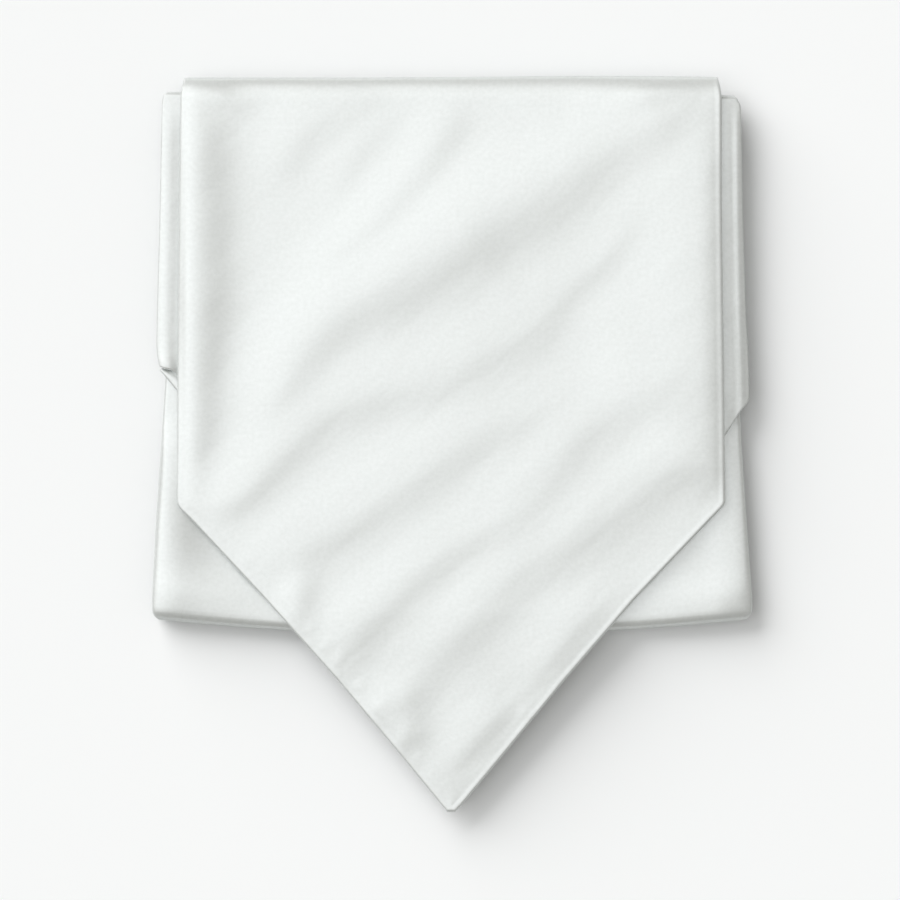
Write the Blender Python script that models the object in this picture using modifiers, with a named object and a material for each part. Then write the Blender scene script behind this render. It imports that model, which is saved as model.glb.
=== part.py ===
"""A folded ascot tie of plain satin: a flat packet on a surface, its front blade's point hanging past it.

The tables and sizes are in millimetres, and the meshes are made in metres. +Z is up from the surface, +Y runs
to the top fold, and the front blade's tip points to -Y. The origin is on the surface, under the middle of the
packet's box. Every panel is a wall of cloth: an open grid laid over rows worked out from the tables, then
given its thickness.
"""

import collections
import math

import bmesh
import bpy
import numpy as np

MM = 0.001

# Cloth, and the gap between layers that lie on each other
WALL = 1.2
GAP = 0.3
HEM_WALL = 0.9
EDGE_ROUND = 0.6
EDGE_THINNED = 0.4

# Levels of the stack, each at the middle of its wall
CORE_HEIGHT = 3.6
CORE_BOTTOM = WALL + GAP
CORE_TOP = CORE_BOTTOM + CORE_HEIGHT
UNDERSIDE_LEVEL = WALL / 2
LOWER_LEVEL = CORE_TOP + GAP + WALL / 2
SECOND_LEVEL = LOWER_LEVEL + WALL + GAP
FRONT_LEVEL = SECOND_LEVEL + WALL + GAP
FRONT_BACK_LEVEL = CORE_TOP - WALL / 2
INNER_BACK_LEVEL = FRONT_BACK_LEVEL - WALL - GAP
HEM_LEVEL = LOWER_LEVEL + WALL / 2 + GAP + HEM_WALL / 2

# Folds: where the cloth reaches along Y, and how far each turn bulges from its centre line
FRONT_TOP_REACH = 101.2
FRONT_TURN = 3.8
SECOND_TOP_REACH = 97.35
SECOND_TURN = (SECOND_LEVEL - LOWER_LEVEL) / 2
BACK_TOP_REACH = 95.5
BACK_TURN = (INNER_BACK_LEVEL - UNDERSIDE_LEVEL) / 2
BOTTOM_CORNER_REACH = -48.1
BOTTOM_TURN = 5.0
STUB_END = 82.0
FOLD_CORNER = 1.6
TOP_FOLD_FADE = 13.0
BOTTOM_FOLD_FADE = 34.0

# Small departures from straight folds, and how the underside lifts off the surface towards the bottom fold
TOP_BULGE = 0.5
TOP_BULGE_X = 40.0
TOP_BULGE_WIDTH = 35.0
SECOND_TOP_SLOPE = 0.0068
BOTTOM_BOW = 4.4
BOTTOM_LIFT = 0.9
BOTTOM_LIFT_START = -20.0

# The packet's crown over its hidden layers, the droop of its margins and of what hangs past it
CROWN = 1.0
CROWN_HALF_WIDTH = 82.0
CROWN_MIDDLE_Y = 24.0
CROWN_HALF_LENGTH = 70.0
CORE_HALF_WIDTH = 77.0
MARGIN_DROP = 0.6
MARGIN_WIDTH = 6.0
DROOP_START = -46.0
TIP_Y = -101.5
TIP_DROP = 4.8
DROOP_POWER = 1.5

# Panel outlines: height on the packet, left edge, right edge
FRONT_SECTIONS = (
    (97.0, -75.1, 74.5),
    (67.8, -75.5, 74.5),
    (40.2, -75.8, 74.8),
    (12.5, -76.0, 75.2),
    (-15.9, -76.1, 75.5),
    (-17.2, -75.7, 74.6),
    (-20.6, -72.1, 71.3),
    (-42.7, -51.5, 50.3),
    (-64.8, -31.8, 31.3),
    (-86.9, -13.3, 13.2),
    (-99.3, -3.2, 2.9),
    (TIP_Y, -1.3, 0.8),
)
SECOND_SECTIONS = (
    (97.0, -80.2, 79.8),
    (67.8, -80.8, 80.3),
    (34.6, -81.7, 81.3),
    (24.5, -81.8, 81.9),
    (21.6, -80.9, 82.0),
    (20.2, -75.6, 82.1),
    (14.5, -73.5, 82.2),
    (12.5, -72.6, 82.0),
    (7.0, -70.0, 78.3),
    (1.5, -67.5, 74.8),
    (-40.0, -32.0, 34.0),
    (-70.0, -3.0, 3.0),
)
LOWER_SECTIONS = (
    (82.0, -80.0, 79.5),
    (18.1, -79.4, 79.3),
    (-1.3, -80.6, 80.2),
    (-20.6, -81.9, 81.5),
    (-42.7, -83.1, 83.1),
)
UNDERSIDE_SECTIONS = (
    (96.0, -78.5, 78.0),
    (20.0, -77.8, 77.6),
    (-42.5, -82.6, 82.6),
)

# The turned hem under the left lip: distance across, its lower edge, its upper edge
HEM_SECTIONS = (
    (-80.7, 20.6, 20.9),
    (-79.5, 19.3, 20.7),
    (-78.4, 17.9, 20.3),
    (-77.1, 16.3, 19.1),
    (-76.0, 14.8, 17.5),
    (-74.2, 12.6, 15.4),
)

# The hidden layers: height on the packet, half width, bottom, top. They end above in a thin tongue.
TONGUE_TOP = CORE_BOTTOM + 0.6
TONGUE_EDGE = 0.15
CORE_SECTIONS = (
    (-44.6, 77.2, 2.9, 3.7),
    (-44.0, 78.3, 2.0, 4.6),
    (-42.0, 78.9, 1.6, 5.0),
    (-38.0, 79.0, CORE_BOTTOM, CORE_TOP),
    (20.0, CORE_HALF_WIDTH, CORE_BOTTOM, CORE_TOP),
    (81.6, CORE_HALF_WIDTH, CORE_BOTTOM, CORE_TOP),
    (81.7, CORE_HALF_WIDTH, CORE_BOTTOM, TONGUE_TOP),
    (92.0, 76.5, CORE_BOTTOM, TONGUE_TOP),
    (92.6, 76.0, CORE_BOTTOM + TONGUE_EDGE, TONGUE_TOP - TONGUE_EDGE),
)
# The side of the hidden layers, one bulge for each: share of the height, depth in from the widest
CORE_EDGE = (
    (0.03, 0.55),
    (0.14, 0.0),
    (0.27, 0.15),
    (0.32, 1.1),
    (0.37, 0.15),
    (0.50, 0.0),
    (0.62, 0.15),
    (0.67, 1.1),
    (0.72, 0.15),
    (0.86, 0.0),
    (0.97, 0.55),
)

# Soft ridges that the front blade's satin rises in, from upper right to lower left: three points that each
# runs by, its height, and how wide it falls away above and below
Ridge = collections.namedtuple("Ridge", "start middle end height above below")
FRONT_RIDGES = (
    Ridge((-69.8, 95.0), (-69.9, 40.0), (-70.8, -12.0), 0.80, 2.6, 5.5),
    Ridge((66.5, 84.0), (66.8, 45.0), (67.5, -8.0), 0.40, 7.0, 3.6),
    Ridge((56.0, 91.0), (-6.1, 49.0), (-62.7, 5.6), 1.00, 6.0, 4.0),
    Ridge((45.6, 59.8), (-6.1, 20.3), (-57.2, -9.0), 0.80, 5.0, 3.8),
    Ridge((4.1, 94.3), (-8.3, 76.3), (-36.0, 57.0), 0.45, 5.0, 3.5),
    Ridge((19.3, 15.6), (-8.3, -3.8), (-49.7, -31.4), 0.65, 4.5, 3.5),
    Ridge((52.4, 12.8), (11.0, -20.1), (-30.4, -53.7), 0.80, 5.0, 3.8),
    Ridge((64.9, -5.1), (27.6, -26.1), (-5.6, -56.5), 0.75, 4.5, 3.6),
    Ridge((44.2, -34.4), (32.6, -46.0), (19.3, -59.3), 0.50, 4.0, 3.2),
    Ridge((-7.5, -61.5), (-13.7, -68.6), (-19.9, -75.8), 0.40, 3.5, 3.0),
    Ridge((18.8, -70.3), (9.8, -77.9), (0.8, -85.5), 0.40, 3.5, 3.0),
    Ridge((49.7, 33.0), (49.9, 22.0), (49.7, 11.5), 0.30, 5.0, 4.0),
    Ridge((-19.9, 92.6), (-42.0, 78.0), (-54.4, 67.8), 0.30, 5.0, 4.5),
)
RIDGE_STEPS = 24
RIDGE_FADE = 0.22
RIDGES_TOP = 96.0
RIDGES_TOP_FADE = 9.0

# How finely each panel is divided
FRONT_COLUMNS = 28
FRONT_STEP = 5.0
SECOND_COLUMNS = 14
SECOND_STEP = 9.0
LOWER_COLUMNS = 14
LOWER_STEP = 9.0
UNDERSIDE_STEP = 10.0
CORE_COLUMNS = 10
CORE_STEP = 10.0
TURN_STEPS = 7

# Finish
SATIN_ROUGHNESS = 0.42
SATIN_SHEEN = 0.3
SHARP_ANGLE = math.radians(50)
FRONT_COLOR = (0.82, 0.85, 0.84)
SECOND_COLOR = (0.80, 0.83, 0.82)
HEM_COLOR = (0.78, 0.81, 0.80)
LOWER_COLOR = (0.79, 0.82, 0.81)
INNER_COLOR = (0.77, 0.80, 0.79)

# A row of the grid across a panel. raised is 1 on top of the packet and 0 under it, and drift is the share of
# the fold's departure from a straight line that the row takes.
Row = collections.namedtuple("Row", "y z left right raised drift")


def smooth(share):
    share = np.clip(share, 0.0, 1.0)
    return share * share * (3.0 - 2.0 * share)


def edges_at(sections, y):
    """A panel's left and right edge at this height, read between the rows of its table."""
    table = np.array(sections[::-1])
    return np.interp(y, table[:, 0], table[:, 1]), np.interp(y, table[:, 0], table[:, 2])


def stations(sections, start, end, step):
    """Heights from start to end that keep each row of the table and leave no step wider than asked."""
    low, high = min(start, end), max(start, end)
    corners = sorted({low, high, *(row[0] for row in sections if low < row[0] < high)}, reverse=start > end)
    found = [corners[0]]
    for near, far in zip(corners, corners[1:]):
        count = max(1, round(abs(far - near) / step))
        found.extend(np.linspace(near, far, count + 1)[1:])
    return found


def flat_run(sections, start, end, step, level, raised, fold_y, fade=TOP_FOLD_FADE):
    """Rows of a flat stretch. Its share of the fold's drift fades away from the fold at fold_y."""
    rows = []
    for y in stations(sections, start, end, step):
        left, right = edges_at(sections, y)
        drift = smooth(1.0 - abs(y - fold_y) / fade)
        rows.append(Row(y, level, left, right, raised, drift))
    return rows


def turn(before, after, bulge):
    """Rows round a fold, between the last row before it and the first row after it."""
    rows = []
    for angle in np.linspace(0.0, math.pi, TURN_STEPS + 1)[1:-1]:
        share = (1.0 - math.cos(angle)) / 2
        mixed = [near + (far - near) * share for near, far in zip(before, after)]
        row = Row(*mixed)
        inset = FOLD_CORNER * math.sin(angle) ** 2
        rows.append(
            row._replace(y=row.y + bulge * math.sin(angle), left=row.left + inset, right=row.right - inset)
        )
    return rows


def crown(x, y):
    """Height that the hidden layers add under the middle of the packet."""
    along = np.clip(1.0 - ((y - CROWN_MIDDLE_Y) / CROWN_HALF_LENGTH) ** 2, 0.0, None) ** 2
    across = np.clip(1.0 - (x / CROWN_HALF_WIDTH) ** 2, 0.0, None)
    return CROWN * along * across


def margin_drop(x):
    """Sag of the second blade's margins past the hidden layers."""
    return MARGIN_DROP * np.clip((np.abs(x) - CORE_HALF_WIDTH) / MARGIN_WIDTH, 0.0, 1.0) ** 2


def droop(y):
    """Sag of a point that hangs past the packet."""
    share = np.clip((DROOP_START - y) / (DROOP_START - TIP_Y), 0.0, 1.0)
    return TIP_DROP * share**DROOP_POWER


def bottom_lift(y):
    """How far the underside has left the surface on its way to the bottom fold."""
    fold_y = BOTTOM_CORNER_REACH + BOTTOM_TURN + WALL / 2
    return BOTTOM_LIFT * np.clip((BOTTOM_LIFT_START - y) / (BOTTOM_LIFT_START - fold_y), 0.0, 1.0) ** 2


def ridge_height(ridge, x, y):
    """One soft ridge along a curve through its three points, uneven on its two sides."""
    start, middle, end = (np.array(point) for point in (ridge.start, ridge.middle, ridge.end))
    bend = 2.0 * middle - (start + end) / 2.0
    t = np.linspace(0.0, 1.0, RIDGE_STEPS)[:, None]
    path = (1.0 - t) ** 2 * start + 2.0 * t * (1.0 - t) * bend + t**2 * end
    away = np.array([x, y]) - path
    nearest = int(np.argmin((away**2).sum(axis=1)))
    along = path[min(nearest + 1, RIDGE_STEPS - 1)] - path[max(nearest - 1, 0)]
    is_above = along[1] * away[nearest, 0] - along[0] * away[nearest, 1] > 0.0
    width = ridge.above if is_above else ridge.below
    share = nearest / (RIDGE_STEPS - 1)
    fade = smooth(share / RIDGE_FADE) * smooth((1.0 - share) / RIDGE_FADE)
    return ridge.height * fade * math.exp(-(away[nearest] @ away[nearest]) / (2.0 * width**2))


def front_relief(x, y):
    top_fade = smooth((RIDGES_TOP - y) / RIDGES_TOP_FADE)
    return top_fade * sum(ridge_height(ridge, x, y) for ridge in FRONT_RIDGES)


def front_height(x, y):
    return crown(x, y) + front_relief(x, y) - droop(y)


def second_height(x, y):
    return crown(x, y) - margin_drop(x) - droop(y)


def lower_height(x, y):
    return crown(x, y) - margin_drop(x)


def front_drift(x):
    return TOP_BULGE * math.exp(-(((x - TOP_BULGE_X) / TOP_BULGE_WIDTH) ** 2))


def second_drift(x):
    return -SECOND_TOP_SLOPE * x


def lower_drift(x):
    return -BOTTOM_BOW * (1.0 - (x / LOWER_SECTIONS[-1][2]) ** 2)


def front_rows():
    """From the tip up the front, over the top fold and a little way down behind."""
    fold_y = FRONT_TOP_REACH - FRONT_TURN - WALL / 2
    front = flat_run(FRONT_SECTIONS, TIP_Y, fold_y, FRONT_STEP, FRONT_LEVEL, 1.0, fold_y)
    back = flat_run(FRONT_SECTIONS, fold_y, STUB_END, FRONT_STEP, FRONT_BACK_LEVEL, 0.0, fold_y)
    return front + turn(front[-1], back[0], FRONT_TURN) + back


def second_rows():
    """From the hidden tip up the front, over its own top fold, to where the lower fold takes over."""
    fold_y = SECOND_TOP_REACH - SECOND_TURN - WALL / 2
    front = flat_run(SECOND_SECTIONS, SECOND_SECTIONS[-1][0], fold_y, SECOND_STEP, SECOND_LEVEL, 1.0, fold_y)
    back = flat_run(SECOND_SECTIONS, fold_y, STUB_END + GAP, SECOND_STEP, LOWER_LEVEL, 1.0, fold_y)
    return front + turn(front[-1], back[0], SECOND_TURN) + back


def lower_rows():
    """Down the front, round the bottom fold, up the flat underside and in again at the back."""
    fold_y = BOTTOM_CORNER_REACH + BOTTOM_TURN + WALL / 2
    back_y = BACK_TOP_REACH - BACK_TURN - WALL / 2
    bottom = (fold_y, BOTTOM_FOLD_FADE)
    front = flat_run(LOWER_SECTIONS, STUB_END, fold_y, LOWER_STEP, LOWER_LEVEL, 1.0, *bottom)
    under = flat_run(UNDERSIDE_SECTIONS, fold_y, back_y, UNDERSIDE_STEP, UNDERSIDE_LEVEL, 0.0, *bottom)
    under = [row._replace(z=row.z + bottom_lift(row.y)) for row in under]
    inside = flat_run(UNDERSIDE_SECTIONS, back_y, STUB_END, UNDERSIDE_STEP, INNER_BACK_LEVEL, 0.0, *bottom)
    bottom_fold = turn(front[-1], under[0], -BOTTOM_TURN)
    back_fold = turn(under[-1], inside[0], BACK_TURN)
    return front + bottom_fold + under + back_fold + inside


def across(left, right, columns, crowded):
    """Places across a row: one just inside each edge, the rest even or crowded towards the edges."""
    share = np.linspace(0.0, 1.0, columns - 1)
    if crowded:
        share = (1.0 - np.cos(share * math.pi)) / 2
    inset = min(EDGE_ROUND, (right - left) / columns)
    inner = left + inset + share * (right - left - 2 * inset)
    return np.concatenate([[left], inner, [right]])


def satin(name, color):
    """Plain satin: pale, smooth and with a soft sheen."""
    material = bpy.data.materials.new(name)
    material.use_nodes = True
    shader = material.node_tree.nodes["Principled BSDF"]
    shader.inputs["Base Color"].default_value = (*color, 1.0)
    shader.inputs["Roughness"].default_value = SATIN_ROUGHNESS
    shader.inputs["Metallic"].default_value = 0.0
    shader.inputs["Sheen Weight"].default_value = SATIN_SHEEN
    material.diffuse_color = (*color, 1.0)
    return material


def add_object(name, mesh, color):
    mesh.shade_smooth()
    mesh.set_sharp_from_angle(angle=SHARP_ANGLE)
    mesh.materials.append(satin(name + "_satin", color))
    obj = bpy.data.objects.new(name, mesh)
    COLLECTION.objects.link(obj)
    return obj


def cloth_wall(name, grid, thickness, color):
    """A wall of cloth over an open grid of points, row by row, thinned to a soft rounded edge all round."""
    rows, columns = grid.shape[0] - 1, grid.shape[1] - 1
    bm = bmesh.new()
    bmesh.ops.create_grid(bm, x_segments=columns, y_segments=rows, size=1.0)
    for vertex, point in zip(bm.verts, grid.reshape(-1, 3)):
        vertex.co = point * MM
    mesh = bpy.data.meshes.new(name)
    bm.to_mesh(mesh)
    bm.free()
    obj = add_object(name, mesh, color)
    inner = obj.vertex_groups.new(name="inside_the_edge")
    indices = np.arange(grid.shape[0] * grid.shape[1]).reshape(grid.shape[:2])
    inner.add(indices[1:-1, 1:-1].ravel().tolist(), 1.0, "REPLACE")
    wall = obj.modifiers.new("wall", "SOLIDIFY")
    wall.thickness = thickness * MM
    wall.offset = 0.0
    wall.vertex_group = inner.name
    wall.thickness_vertex_group = EDGE_THINNED
    return obj


def panel(name, rows, columns, crowded, height, drift, color):
    """A panel of cloth over its rows, with its own height and drift across each row."""
    grid = np.empty((len(rows), columns + 1, 3))
    for i, row in enumerate(rows):
        for j, x in enumerate(across(row.left, row.right, columns, crowded)):
            y = row.y + row.drift * drift(x)
            grid[i, j] = x, y, row.z + row.raised * height(x, y)
    return cloth_wall(name, grid, WALL, color)


def hem(name, color):
    """The narrow turned hem under the lip, at a slant between its lower and upper edge."""
    grid = np.empty((3, len(HEM_SECTIONS), 3))
    for j, (x, lower, upper) in enumerate(HEM_SECTIONS):
        for i, share in enumerate((0.0, 0.5, 1.0)):
            y = lower + (upper - lower) * share
            grid[i, j] = x, y, HEM_LEVEL + second_height(x, y)
    return cloth_wall(name, grid, HEM_WALL, color)


def core_ring(y, half_width, bottom, top):
    """One closed section of the hidden layers, anticlockwise as seen from the tip's side."""
    widest = np.linspace(-half_width, half_width, CORE_COLUMNS + 1)[1:-1]
    tall = top - bottom
    is_full = tall > (CORE_TOP - CORE_BOTTOM) / 2

    def raised(x, share):
        return crown(x, y) * share if is_full else 0.0

    ring = [(x, y, bottom) for x in widest]
    for share, inset in CORE_EDGE:
        x = half_width - inset
        ring.append((x, y, bottom + tall * share + raised(x, share)))
    ring += [(x, y, top + raised(x, 1.0)) for x in widest[::-1]]
    for share, inset in CORE_EDGE[::-1]:
        x = inset - half_width
        ring.append((x, y, bottom + tall * share + raised(x, share)))
    return ring


def folded_layers(name, color):
    """The hidden layers as one solid: a loft through its sections, layered at its sides."""
    table = np.array(CORE_SECTIONS)
    rings = []
    for y in stations(CORE_SECTIONS, CORE_SECTIONS[0][0], CORE_SECTIONS[-1][0], CORE_STEP):
        half_width, bottom, top = (np.interp(y, table[:, 0], table[:, column]) for column in (1, 2, 3))
        rings.append(core_ring(y, half_width, bottom + bottom_lift(y), top))
    bm = bmesh.new()
    loops = [[bm.verts.new(np.array(point) * MM) for point in ring] for ring in rings]
    for near, far in zip(loops, loops[1:]):
        for k in range(len(near)):
            after = (k + 1) % len(near)
            bm.faces.new((near[k], near[after], far[after], far[k]))
    bm.faces.new(loops[0][::-1])
    bm.faces.new(loops[-1])
    bmesh.ops.recalc_face_normals(bm, faces=bm.faces)
    mesh = bpy.data.meshes.new(name)
    bm.to_mesh(mesh)
    bm.free()
    return add_object(name, mesh, color)


def clear_scene():
    for obj in list(bpy.data.objects):
        bpy.data.objects.remove(obj, do_unlink=True)


clear_scene()
COLLECTION = bpy.data.collections.new("folded_ascot_tie")
bpy.context.scene.collection.children.link(COLLECTION)

panel("front_blade", front_rows(), FRONT_COLUMNS, False, front_height, front_drift, FRONT_COLOR)
panel("second_blade", second_rows(), SECOND_COLUMNS, True, second_height, second_drift, SECOND_COLOR)
hem("second_blade_hem", HEM_COLOR)
panel("lower_fold", lower_rows(), LOWER_COLUMNS, True, lower_height, lower_drift, LOWER_COLOR)
folded_layers("folded_layers", INNER_COLOR)
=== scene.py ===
# %% [markdown]
# # A folded ascot tie in pale satin
# An ascot is two wide, pointed blades of satin joined by a narrow pleated neckband. This one is folded flat, as for a
# drawer: the front blade lies on top with its point hanging past the packet, the second blade looks out on both sides
# of it, and the rest of the cloth is folded below. The frame gives the solid form of each stretch at its real size.
# Here each stretch is dressed with a thin shell of satin on the same form, with its creases, rolls and seams.

# %% Load the frame
import collections
import math

import bmesh
import bpy
import numpy as np
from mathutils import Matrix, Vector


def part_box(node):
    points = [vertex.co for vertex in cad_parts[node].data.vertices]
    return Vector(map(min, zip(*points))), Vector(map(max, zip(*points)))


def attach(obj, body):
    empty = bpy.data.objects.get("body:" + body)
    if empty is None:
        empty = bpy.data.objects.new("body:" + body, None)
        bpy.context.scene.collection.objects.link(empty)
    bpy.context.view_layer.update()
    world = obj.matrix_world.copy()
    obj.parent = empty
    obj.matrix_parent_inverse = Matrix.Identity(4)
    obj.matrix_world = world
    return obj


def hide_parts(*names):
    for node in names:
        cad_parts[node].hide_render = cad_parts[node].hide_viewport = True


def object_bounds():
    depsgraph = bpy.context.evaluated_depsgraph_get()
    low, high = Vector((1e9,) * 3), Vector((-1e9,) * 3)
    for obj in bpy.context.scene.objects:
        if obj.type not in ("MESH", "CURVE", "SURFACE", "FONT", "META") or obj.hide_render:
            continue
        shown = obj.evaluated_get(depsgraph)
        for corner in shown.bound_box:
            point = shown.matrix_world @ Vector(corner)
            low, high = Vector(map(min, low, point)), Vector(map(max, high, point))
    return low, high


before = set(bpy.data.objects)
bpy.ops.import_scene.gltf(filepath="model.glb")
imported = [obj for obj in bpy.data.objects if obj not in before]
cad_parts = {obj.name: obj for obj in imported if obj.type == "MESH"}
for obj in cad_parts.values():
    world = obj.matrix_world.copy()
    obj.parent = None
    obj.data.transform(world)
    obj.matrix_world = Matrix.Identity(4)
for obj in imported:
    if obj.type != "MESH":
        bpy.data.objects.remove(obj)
CAD_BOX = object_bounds()
MM = 0.001
CAD_LOW, CAD_HIGH = (np.array(corner) / MM for corner in CAD_BOX)
print("CAD box in mm:", CAD_LOW.round(2), CAD_HIGH.round(2))

# %% [markdown]
# ## Camera
# The packet is seen from straight above. A short lens would show the sides of the packet and lean them outwards, so
# the camera hangs two metres up with a long lens, and the edges stay parallel. The lens length follows from the width
# that the picture takes in, by similar triangles.

# %% Hang the camera over the packet
VIEW_WIDTH = 248.6
VIEW_MIDDLE = (-0.6, -1.3)
CAMERA_HEIGHT = 2000.0
SENSOR = 36.0
CLIP_END = 10.0

camera = bpy.data.objects.new("camera", bpy.data.cameras.new("camera"))
camera.data.sensor_width = SENSOR
camera.data.lens = SENSOR * (CAMERA_HEIGHT - CAD_HIGH[2]) / VIEW_WIDTH
camera.location = VIEW_MIDDLE[0] * MM, VIEW_MIDDLE[1] * MM, CAMERA_HEIGHT * MM
camera.data.clip_end = CLIP_END
bpy.context.scene.collection.objects.link(camera)
bpy.context.scene.camera = camera
print("lens in mm:", round(camera.data.lens, 1))

# %% [markdown]
# ## Floor and light
# White satin on a white table needs light that is soft but not even, or its folds vanish. A sky that is brightest
# overhead and on the left gives every fold a lit and a shaded flank. One broad lamp stands low on the upper left. It
# adds the soft shadow that falls to the right of the packet and below it, and the satin doesn't mirror it. Its light
# isn't passed on from the bright edges to the table, which would ring the packet with a white rim. The floor is so
# wide that it meets the sky out of sight.

# %% Floor
FLOOR_SIZE = 80.0
FLOOR_DROP = 0.02
FLOOR_COLOR = (0.918, 0.929, 0.931, 1.0)
FLOOR_ROUGH = 0.9

bpy.ops.mesh.primitive_plane_add(size=FLOOR_SIZE, location=(0.0, 0.0, -FLOOR_DROP * MM))
floor = bpy.context.object
floor.name = "floor"
floor_paint = bpy.data.materials.new("matt_table")
floor_paint.use_nodes = True
floor_shader = floor_paint.node_tree.nodes["Principled BSDF"]
floor_shader.inputs["Base Color"].default_value = FLOOR_COLOR
floor_shader.inputs["Roughness"].default_value = FLOOR_ROUGH
floor_shader.inputs["Specular IOR Level"].default_value = 0.0
floor.data.materials.append(floor_paint)

# %% Sky
SKY_LOW = 0.325
SKY_BRIGHT = 1.09
SKY_TOWARDS = (-0.38, 0.16, 0.90)
SKY_SPREAD = (0.65, 0.92)
SKY_SEEN = (0.945, 0.950, 0.948, 1.0)
SKY_DIM_COLOR = (1.0, 0.983, 0.935)
SKY_BRIGHT_COLOR = (0.992, 1.0, 1.008)
# the Map Range node's sockets for vectors: from low, from high, to low, to high
VECTOR_SOCKETS = (7, 8, 9, 10)


def build_sky():
    """A dim sky with one wide bright part above, a little to the left. The camera sees a plain one."""
    world = bpy.data.worlds.new("studio")
    bpy.context.scene.world = world
    world.use_nodes = True
    nodes, links = world.node_tree.nodes, world.node_tree.links
    nodes.clear()
    towards = nodes.new("ShaderNodeVectorMath")
    towards.operation = "DOT_PRODUCT"
    towards.inputs[1].default_value = np.array(SKY_TOWARDS) / np.linalg.norm(SKY_TOWARDS)
    links.new(nodes.new("ShaderNodeTexCoord").outputs["Generated"], towards.inputs[0])
    glow = nodes.new("ShaderNodeMapRange")
    glow.interpolation_type = "SMOOTHSTEP"
    glow.inputs["From Min"].default_value, glow.inputs["From Max"].default_value = SKY_SPREAD
    glow.inputs["To Min"].default_value = SKY_LOW
    glow.inputs["To Max"].default_value = SKY_BRIGHT
    links.new(towards.outputs["Value"], glow.inputs["Value"])
    lighting = nodes.new("ShaderNodeBackground")
    links.new(glow.outputs[0], lighting.inputs["Strength"])
    tint = nodes.new("ShaderNodeMapRange")
    tint.data_type = "FLOAT_VECTOR"
    ends = (SKY_LOW,) * 3, (SKY_BRIGHT,) * 3, SKY_DIM_COLOR, SKY_BRIGHT_COLOR
    for socket, end in zip(VECTOR_SOCKETS, ends):
        tint.inputs[socket].default_value = end
    links.new(glow.outputs[0], tint.inputs["Vector"])
    links.new(tint.outputs["Vector"], lighting.inputs["Color"])
    seen = nodes.new("ShaderNodeBackground")
    seen.inputs["Color"].default_value = SKY_SEEN
    choose = nodes.new("ShaderNodeMixShader")
    links.new(nodes.new("ShaderNodeLightPath").outputs["Is Camera Ray"], choose.inputs[0])
    links.new(lighting.outputs[0], choose.inputs[1])
    links.new(seen.outputs[0], choose.inputs[2])
    links.new(choose.outputs[0], nodes.new("ShaderNodeOutputWorld").inputs["Surface"])


build_sky()
bpy.context.scene.view_settings.view_transform = "Standard"

# %% Lamp
LAMP_STRENGTH = 3.6
# in degrees: how wide the lamp looks, how high it stands above the table, and its turn round the packet
LAMP_ANGLE = 56.0
LAMP_HEIGHT = 22.0
LAMP_TURN = 49.0
# how often its light is passed on from one surface to the next
LAMP_BOUNCES = 0


def hang_lamp():
    """A broad lamp, as wide as a window, so that its shadow has no hard edge."""
    lamp = bpy.data.objects.new("broad_lamp", bpy.data.lights.new("broad_lamp", "SUN"))
    lamp.data.energy = LAMP_STRENGTH
    lamp.data.angle = math.radians(LAMP_ANGLE)
    lamp.rotation_euler = math.radians(90.0 - LAMP_HEIGHT), 0.0, math.radians(270.0 - LAMP_TURN)
    lamp.visible_glossy = False
    lamp.data.cycles.max_bounces = LAMP_BOUNCES
    bpy.context.scene.collection.objects.link(lamp)


hang_lamp()

# %% [markdown]
# ## Lines, rows and creases
# A folded blade is one long strip, so it is made as rows across the strip: up the front, round a fold, and down
# behind. Each row knows its place, its level, and where the strip's left and right edges are. A crease is a soft
# ridge along a smooth line through a few given points. Its left flank and its right flank have their own
# widths, which widen or narrow from the first point to the last, because real creases are never even.

# %% Smooth steps and lines
PATH_STEPS = 64


def smooth(share):
    share = np.clip(share, 0.0, 1.0)
    return share * share * (3.0 - 2.0 * share)


def smooth_path(points):
    """A smooth line, a Catmull-Rom spline, through given points: PATH_STEPS places along it."""
    given = np.array(points, float)
    held = np.vstack([2.0 * given[0] - given[1], given, 2.0 * given[-1] - given[-2]])
    spans = len(given) - 1
    place = np.linspace(0.0, spans, PATH_STEPS)
    start = np.minimum(place.astype(int), spans - 1)
    part = (place - start)[:, None]
    a, b, c, d = (held[start + step] for step in range(4))
    bend = (2.0 * a - 5.0 * b + 4.0 * c - d) * part**2 + (3.0 * b - a - 3.0 * c + d) * part**3
    return 0.5 * (2.0 * b + (c - a) * part + bend)


# %% Creases
Crease = collections.namedtuple("Crease", "path heights left right")
CREASE_FADE = 26.0
SHORT_FADE = 0.42


def crease_height(crease, x, y):
    """Height of one crease. heights, left and right hold its values at its start, middle and end."""
    path = smooth_path(crease.path)
    along = np.gradient(path, axis=0)
    step = np.linalg.norm(along, axis=1, keepdims=True)
    along = along / step
    spots = np.stack([x.ravel(), y.ravel()], axis=1)
    nearest = ((spots[:, None, :] - path[None]) ** 2).sum(axis=2).argmin(axis=1)
    away = spots - path[nearest]
    ahead = along[nearest]
    side = ahead[:, 0] * away[:, 1] - ahead[:, 1] * away[:, 0]
    share = (nearest + (ahead * away).sum(axis=1) / step[nearest, 0]) / (PATH_STEPS - 1)
    height, left, right = (np.interp(share, (0.0, 0.5, 1.0), row) for row in crease[1:])
    fade = min(SHORT_FADE, CREASE_FADE / float(step.sum()))
    height = height * smooth(share / fade) * smooth((1.0 - share) / fade)
    width = np.where(side < 0.0, left, right)
    return (height * np.exp(-0.5 * (side / width) ** 2)).reshape(x.shape)


def relief(creases, x, y):
    """Height of several creases together."""
    return sum(crease_height(crease, x, y) for crease in creases)


# %% Rows across a strip of cloth
Rows = collections.namedtuple("Rows", "y z left right raised drift")
FOLD_CORNER = 0.9
FOLD_STEPS = 18


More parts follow.
